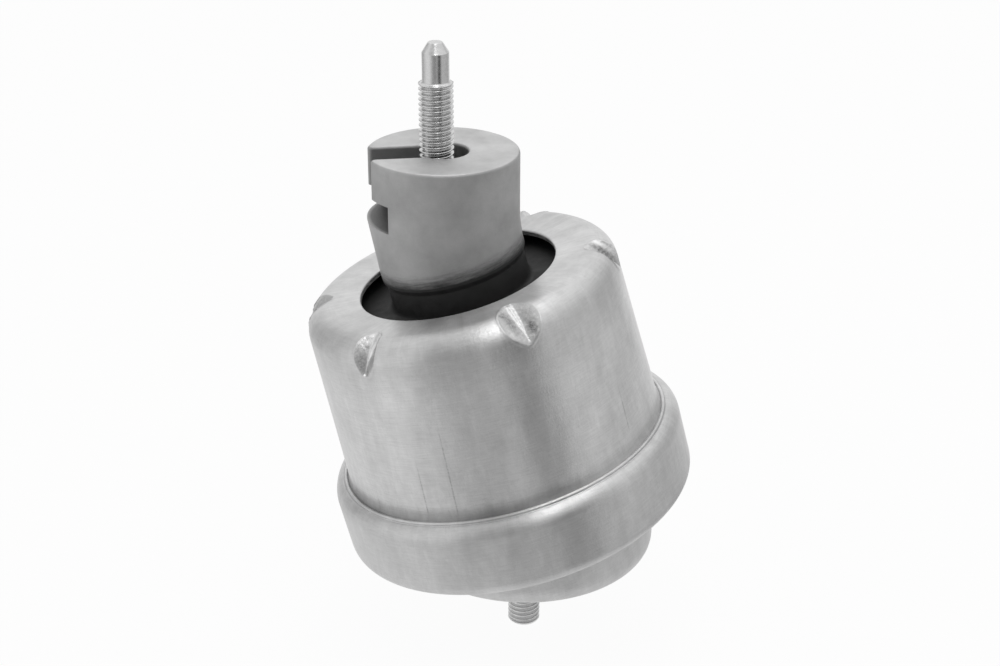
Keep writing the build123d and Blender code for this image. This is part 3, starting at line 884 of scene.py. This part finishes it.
def drawn_aluminium():
    """Satin drawn sheet: fine turning marks round the axis, faint draw streaks along it."""
    material, tree, shader = new_material("drawn_aluminium", Metallic=1.0, Anisotropic_Rotation=0.25)
    tree.links.new(circumference(tree), shader.inputs["Tangent"])
    place = housing_coordinates(tree)
    level = split(tree, place)[2]
    flat_place = stretched(tree, place, (1, 1, 0))
    reach = vector(tree, "LENGTH", flat_place)
    spoke = vector(tree, "NORMALIZE", flat_place)
    # Streaks run along the axis, so their noise changes little with the level
    ray = vector(tree, "ADD", spoke, stretched(tree, place, (0, 0, 0.006)))
    streaks = noise(tree, ray, 26.0, 4.0, 0.65)
    broad_streaks = noise(tree, ray, 4.0, 3.0, 0.5)
    rings = noise(tree, stretched(tree, place, (0.09, 0.09, 1.0)), 2.4, 5.0, 0.7)
    scuffs = noise(tree, stretched(tree, place, (0.15, 0.15, 0.8)), 0.9, 5.0, 0.65)
    blotches = noise(tree, stretched(tree, place, (1, 1, 0.5)), 0.16, 4.0, 0.55)
    cloud = noise(tree, place, 0.07, 5.0, 0.6)
    grain = noise(tree, place, 1.5, 3.0, 0.6)
    speck = noise(tree, place, 1.1, 4.0, 0.7)

    tone = spread(tree, cloud, 0.60, 0.66)
    for pattern, swing in ((streaks, 0.03), (broad_streaks, 0.03), (blotches, 0.042), (rings, 0.045)):
        tone = combine(tree, "ADD", tone, spread(tree, pattern, -swing, swing))
    tone = combine(
        tree,
        "MULTIPLY",
        tone,
        draw_scars(tree, streaks, cloud),
        remap(tree, scuffs, 0.62, 0.72, 1.0, 0.93),
        scratches(tree, place, level, grain),
    )
    # Painted light: the can's wall is made a little lighter than the pan, for the brighter surroundings
    # it mirrors, and its shoulder a little darker towards the top
    wall = remap(tree, level, RIM_TOP, RIM_TOP + 0.5, 0.95, 1.08)
    shoulder = remap(tree, level, 76.0, 86.0, 1.0, 0.89)
    # The rim's painted shade darkens the wall just above the pan
    tone = combine(tree, "MULTIPLY", tone, wall, shoulder, rim_painted_shade(tree, level, reach, spoke, ray))
    # The cut edge round the opening is dull and smeared with rubber
    edge = cut_edge(tree, level, reach)
    wipes = noise(tree, stretched(tree, place, (0.3, 0.3, 1.2)), 1.5, 4.0, 0.7)
    tone = node(tree, "Mix", {0: edge, 2: tone, 3: spread_hard(tree, wipes, 0.08, 0.34)}).outputs[0]
    # Painted shade and painted highlights of the gussets' marks, broken up by a coarse grain
    pressed = node(tree, "Attribute", attribute_name="pressed").outputs["Fac"]
    shade_and_highlight = node(tree, "Attribute", attribute_name="shade_and_highlight").outputs["Fac"]
    shade_and_highlight = combine(tree, "MULTIPLY", shade_and_highlight, spread_hard(tree, speck, 0.7, 1.3))
    mottle = combine(tree, "MULTIPLY", pressed, spread_hard(tree, speck, -0.07, 0.12))
    marked = one_minus(tree, combine(tree, "ADD", shade_and_highlight, mottle))
    tone = combine(tree, "MULTIPLY", tone, marked)
    tree.links.new(grey(tree, tone), shader.inputs["Base Color"])

    rough = combine(
        tree,
        "ADD",
        spread(tree, cloud, 0.34, 0.40),
        spread(tree, broad_streaks, -0.03, 0.03),
        combine(tree, "MULTIPLY", edge, 0.25),
    )
    # The press leaves the gussets burnished and scuffed, with no turning marks
    burnish = remap(tree, pressed, 0.0, 1.0, 1.0, 0.85)
    tree.links.new(combine(tree, "MULTIPLY", rough, burnish), shader.inputs["Roughness"])
    tree.links.new(remap(tree, pressed, 0.0, 1.0, 0.85, 0.25), shader.inputs["Anisotropic"])
    lines = bump(tree, rings, 0.3, 0.00003)
    marks = bump(tree, streaks, 0.2, 0.00012, lines)
    scuffed = bump(tree, speck, combine(tree, "MULTIPLY", pressed, 0.5), 0.0003, marks)
    tree.links.new(bump(tree, grain, 0.5, 0.00012, scuffed), shader.inputs["Normal"])
    return material


def core_shade(tree):
    """Share of light left by painted shade in the core's slot, keyhole and pocket, and the gain of
    painted light on its top face.
    """
    upright = object_place(tree)
    height = split(tree, upright)[2]
    from_axis = vector(tree, "SUBTRACT", upright, (-CORE_REACH * MM, 0, 0))
    reach = vector(tree, "LENGTH", stretched(tree, from_axis, (1, 1, 0)))
    # Painted shade on the inner walls of the slot and keyhole
    inside = remap(tree, reach, (CORE_RADIUS - 1.2) * MM, (CORE_RADIUS - 0.3) * MM, 1.0, 0.0)
    below_top = remap(tree, height, (CORE_TOP - 1.0) * MM, (CORE_TOP - 0.2) * MM, 1.0, 0.0)
    above_floor = remap(tree, height, (POCKET_FLOOR - 0.6) * MM, (POCKET_FLOOR - 0.1) * MM, 0.0, 1.0)
    slot_shade = combine(tree, "MULTIPLY", inside, below_top, above_floor)
    # Painted shade deep in the pocket, under the slot's roof
    deep = remap(tree, reach, (CORE_RADIUS - 6) * MM, (CORE_RADIUS - 0.3) * MM, 0.6, 0.0)
    below_roof = remap(tree, height, SLOT_ROOF * MM, (SLOT_ROOF + 0.4) * MM, 1.0, 0.0)
    in_pocket = combine(tree, "MULTIPLY", deep, below_roof, above_floor)
    # Painted light that brightens the top face
    top_light = remap(tree, height, (CORE_TOP - 0.25) * MM, (CORE_TOP - 0.05) * MM, 1.0, 1.38)
    slot = remap(tree, slot_shade, 0.0, 1.0, 1.0, 0.5)
    return combine(tree, "MULTIPLY", slot, one_minus(tree, in_pocket), top_light)


def cast_core():
    """Blasted casting: matte grey, fine grain, painted shade in its slot, painted light on its top,
    smeared with rubber by the spring.
    """
    material, tree, shader = new_material("cast_core", Metallic=0.75)
    place = housing_coordinates(tree)
    cloud = noise(tree, place, 0.10, 5.0, 0.6)
    grain = noise(tree, place, 2.6, 3.0, 0.7)
    wipes = noise(tree, stretched(tree, place, (0.12, 0.12, 1.0)), 1.1, 5.0, 0.7)
    ragged = combine(tree, "ADD", split(tree, place)[2], spread(tree, wipes, -1.1, 1.1))
    clean = remap(tree, ragged, SMEAR_LOW, SMEAR_HIGH, 0.05, 1.0, "SMOOTHSTEP")
    tone = combine(tree, "MULTIPLY", spread(tree, cloud, 0.36, 0.47), clean, core_shade(tree))
    tree.links.new(grey(tree, tone), shader.inputs["Base Color"])
    tree.links.new(spread(tree, grain, 0.50, 0.62), shader.inputs["Roughness"])
    tree.links.new(bump(tree, grain, 0.3, 0.0001), shader.inputs["Normal"])
    return material


def plated_steel(name, tone, rough):
    """Zinc-plated steel with a fine grain."""
    material, tree, shader = new_material(name, Metallic=1.0)
    grain = noise(tree, housing_coordinates(tree), 1.2, 4.0, 0.6)
    tree.links.new(grey(tree, spread(tree, grain, tone - 0.05, tone + 0.05)), shader.inputs["Base Color"])
    tree.links.new(spread(tree, grain, rough - 0.05, rough + 0.06), shader.inputs["Roughness"])
    tree.links.new(bump(tree, grain, 0.2, 0.00004), shader.inputs["Normal"])
    return material


def black_rubber():
    """Moulded rubber, near black, slightly uneven."""
    material, tree, shader = new_material("black_rubber")
    cloud = noise(tree, housing_coordinates(tree), 0.4, 4.0, 0.6)
    tree.links.new(grey(tree, spread(tree, cloud, 0.010, 0.020)), shader.inputs["Base Color"])
    tree.links.new(spread(tree, cloud, 0.55, 0.75), shader.inputs["Roughness"])
    tree.links.new(bump(tree, cloud, 0.3, 0.0002), shader.inputs["Normal"])
    return material


def paint_node(name, material):
    """Gives a CAD node its finish."""
    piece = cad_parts[name]
    piece.data.materials.clear()
    piece.data.materials.append(material)


# Floor, world, lamps and camera
def show_white(tree, surface, seen_share, mirrored_share):
    """Mixes a surface with plain white for what the camera and reflections see."""
    path = node(tree, "LightPath").outputs
    seen = combine(tree, "MULTIPLY", path["Is Camera Ray"], seen_share)
    mirrored = combine(tree, "MAXIMUM", path["Is Glossy Ray"], path["Is Transmission Ray"])
    share = combine(tree, "MAXIMUM", seen, combine(tree, "MULTIPLY", mirrored, mirrored_share))
    white = node(tree, "Emission", {"Color": (1, 1, 1, 1), "Strength": 1.0}).outputs[0]
    return node(tree, "MixShader", {0: share, 1: surface, 2: white}).outputs[0]


def make_floor():
    level = -(STUD_LENGTH + FLOOR_GAP) * MM
    sides = ((-1, -1), (1, -1), (1, 1), (-1, 1))
    mesh = bpy.data.meshes.new("floor")
    mesh.from_pydata([(x * FLOOR_HALF, y * FLOOR_HALF, level) for x, y in sides], [], [(0, 1, 2, 3)])
    floor = bpy.data.objects.new("floor", mesh)
    bpy.context.scene.collection.objects.link(floor)
    material, tree, shader = new_material("floor_white", Roughness=0.9)
    shader.inputs["Base Color"].default_value = (0.9, 0.9, 0.9, 1)
    mixed = show_white(tree, shader.outputs[0], FLOOR_SEEN, FLOOR_MIRRORED)
    tree.links.new(mixed, tree.nodes["Material Output"].inputs["Surface"])
    floor.data.materials.append(material)


def make_world():
    world = bpy.data.worlds.new("studio")
    world.use_nodes = True
    bpy.context.scene.world = world
    tree = world.node_tree
    background = tree.nodes["Background"]
    background.inputs["Color"].default_value = (1, 1, 1, 1)
    background.inputs["Strength"].default_value = WORLD_STRENGTH
    path = node(tree, "LightPath").outputs
    rays = (path["Is Camera Ray"], path["Is Glossy Ray"], path["Is Transmission Ray"])
    seen = combine(tree, "MAXIMUM", *rays)
    white = node(tree, "Background", {"Color": (1, 1, 1, 1), "Strength": 1.0}).outputs[0]
    mixed = node(tree, "MixShader", {0: seen, 1: background.outputs[0], 2: white}).outputs[0]
    tree.links.new(mixed, tree.nodes["World Output"].inputs["Surface"])


def make_lamp(name, place, size, power):
    """A soft square lamp that faces the middle of the object."""
    lamp = bpy.data.lights.new(name, "AREA")
    lamp.size = size
    lamp.energy = power
    holder = bpy.data.objects.new(name, lamp)
    holder.location = place
    towards = Vector(LAMP_TARGET) - Vector(place)
    holder.rotation_euler = towards.to_track_quat("-Z", "Y").to_euler()
    bpy.context.scene.collection.objects.link(holder)


def make_surround():
    """A curved grey card round the front and a darker apron on the floor, seen only in reflections.
    Tone is the card's brightness, and cover says how far it hides what lies behind it."""
    turns = np.arange(SURROUND_TONES[0][0], SURROUND_TONES[-1][0] + 1, SURROUND_STEP)
    tones = np.interp(turns, *np.array(SURROUND_TONES).T)
    aprons = np.interp(turns, *np.array(APRON_COVER).T)
    skirts = np.interp(turns, *np.array(SKIRT_COVER).T)
    domes = np.interp(turns, *np.array(DOME_COVER).T)
    points, tone, cover = [], [], []
    for radius, height, apron, skirt, wall, dome in SURROUND_ROWS:
        points += [(radius * cos(t), radius * sin(t), height) for t in np.radians(turns)]
        plain = APRON_TONE if height < 0 else DOME_TONE
        tone += (tones if wall else np.full(len(turns), plain)).tolist()
        cover += (apron * aprons + skirt * skirts + wall + dome * domes).tolist()
    count = len(turns)
    faces = []
    for row in range(len(SURROUND_ROWS) - 1):
        low, high = row * count, (row + 1) * count
        faces += [(low + k, low + k + 1, high + k + 1, high + k) for k in range(count - 1)]
    mesh = bpy.data.meshes.new("surround")
    mesh.from_pydata(points, [], faces)
    for name, values in (("tone", tone), ("cover", cover)):
        mesh.attributes.new(name, "FLOAT", "POINT").data.foreach_set("value", values)
    card = bpy.data.objects.new("surround", mesh)
    bpy.context.scene.collection.objects.link(card)
    for ray in ("camera", "diffuse", "transmission", "shadow", "volume_scatter"):
        setattr(card, "visible_" + ray, False)
    material = bpy.data.materials.new("surround_grey")
    material.use_nodes = True
    tree = material.node_tree
    tree.nodes.clear()
    tone = node(tree, "Attribute", attribute_name="tone").outputs["Fac"]
    cover = node(tree, "Attribute", attribute_name="cover").outputs["Fac"]
    glow = node(tree, "Emission", {"Color": grey(tree, tone), "Strength": 1.0}).outputs[0]
    clear = node(tree, "BsdfTransparent").outputs[0]
    mixed = node(tree, "MixShader", {0: cover, 1: clear, 2: glow}).outputs[0]
    out = node(tree, "OutputMaterial")
    tree.links.new(mixed, out.inputs["Surface"])
    card.data.materials.append(material)


def make_camera():
    right, forward = Vector(CAMERA_RIGHT).normalized(), Vector(CAMERA_FORWARD).normalized()
    up = right.cross(forward)
    right = forward.cross(up)
    camera = bpy.data.cameras.new("camera")
    camera.lens = CAMERA_LENS
    camera.sensor_width = CAMERA_SENSOR
    camera.sensor_fit = "HORIZONTAL"
    camera.clip_start, camera.clip_end = 0.01, 20.0
    holder = bpy.data.objects.new("camera", camera)
    turn = Matrix((right, up, -forward)).transposed().to_4x4()
    holder.matrix_world = Matrix.Translation(Vector(CAMERA_PLACE) * MM) @ turn
    bpy.context.scene.collection.objects.link(holder)
    bpy.context.scene.camera = holder


aluminium = drawn_aluminium()
casting = cast_core()
rubber = black_rubber()
ring_steel = plated_steel("ring_steel", 0.33, 0.45)
make_can(aluminium)
make_pan(aluminium)
make_top_bolt(plated_steel("zinc_bolt", 0.60, 0.24))
# Painted light: the stud's steel is made lighter than the bolt's, standing in for light it mirrors from
# the floor
make_lower_stud(plated_steel("stud_steel", 0.75, 0.45))
for name in ("core", "track_plate_upper", "track_plate_lower"):
    paint_node(name, casting)
for name in ("main_spring", "decoupler", "bellows"):
    paint_node(name, rubber)
for name in ("outer_ring", "bellows_ring", "track_rivets"):
    paint_node(name, ring_steel)

bpy.context.scene.view_settings.view_transform = "Standard"
make_world()
make_floor()
make_surround()
for name, place, size, power in LAMPS:
    make_lamp(name, place, size, power)
make_camera()
